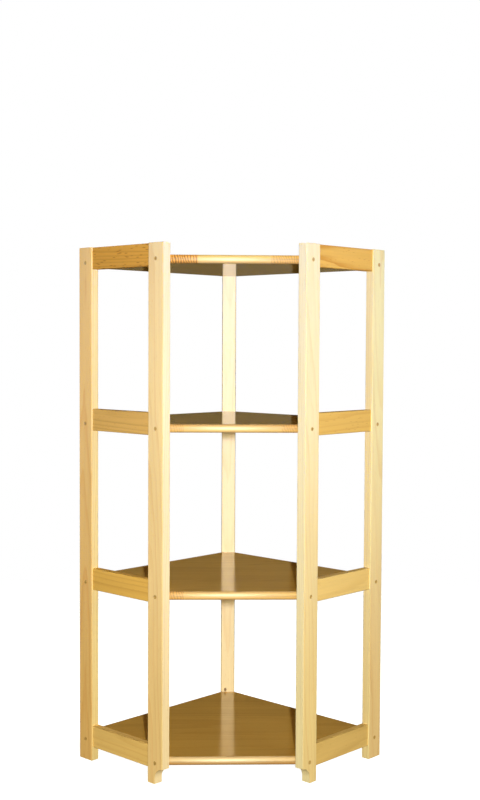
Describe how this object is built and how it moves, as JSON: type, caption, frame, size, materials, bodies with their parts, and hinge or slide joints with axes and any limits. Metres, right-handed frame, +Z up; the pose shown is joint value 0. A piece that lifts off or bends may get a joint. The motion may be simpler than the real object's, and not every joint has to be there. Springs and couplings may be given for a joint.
{
  "type": "corner shelf",
  "caption": "Open pine corner shelf with a pentagonal plan: two ladder side frames, a back post and boards with a half-round front edge.",
  "frame": {"origin": "on the floor, at the middle of the shelf's outline box", "axes": "+Z up; the open front with the half-round board edges faces -Y; the corner of the room is at +Y; X = 0 is the plane of symmetry"},
  "size_m": [0.6772, 0.5336, 1.14],
  "materials": {
    "post_pine": "clear varnished pine, upright grain",
    "board_pine": "clear glossy varnished pine, grain along the front edge",
    "rail_pine": "clear varnished pine, grain along the rail",
    "dowel_beech": "bare beech",
    "screw_steel": "yellow zinc plated steel"
  },
  "bodies": {
    "root": {"back_post": "post_pine", "left_wall_post": "post_pine", "left_front_post": "post_pine", "right_wall_post": "post_pine", "right_front_post": "post_pine", "bottom_board": "board_pine", "bottom_board_screws": "screw_steel", "left_bottom_rail": "rail_pine", "left_bottom_rail_dowels": "dowel_beech", "right_bottom_rail": "rail_pine", "right_bottom_rail_dowels": "dowel_beech", "lower_board": "board_pine", "lower_board_screws": "screw_steel", "left_lower_rail": "rail_pine", "left_lower_rail_dowels": "dowel_beech", "right_lower_rail": "rail_pine", "right_lower_rail_dowels": "dowel_beech", "upper_board": "board_pine", "upper_board_screws": "screw_steel", "left_upper_rail": "rail_pine", "left_upper_rail_dowels": "dowel_beech", "right_upper_rail": "rail_pine", "right_upper_rail_dowels": "dowel_beech", "top_board": "board_pine", "top_board_screws": "screw_steel", "left_top_rail": "rail_pine", "left_top_rail_dowels": "dowel_beech", "right_top_rail": "rail_pine", "right_top_rail_dowels": "dowel_beech"}
  },
  "joints": []
}
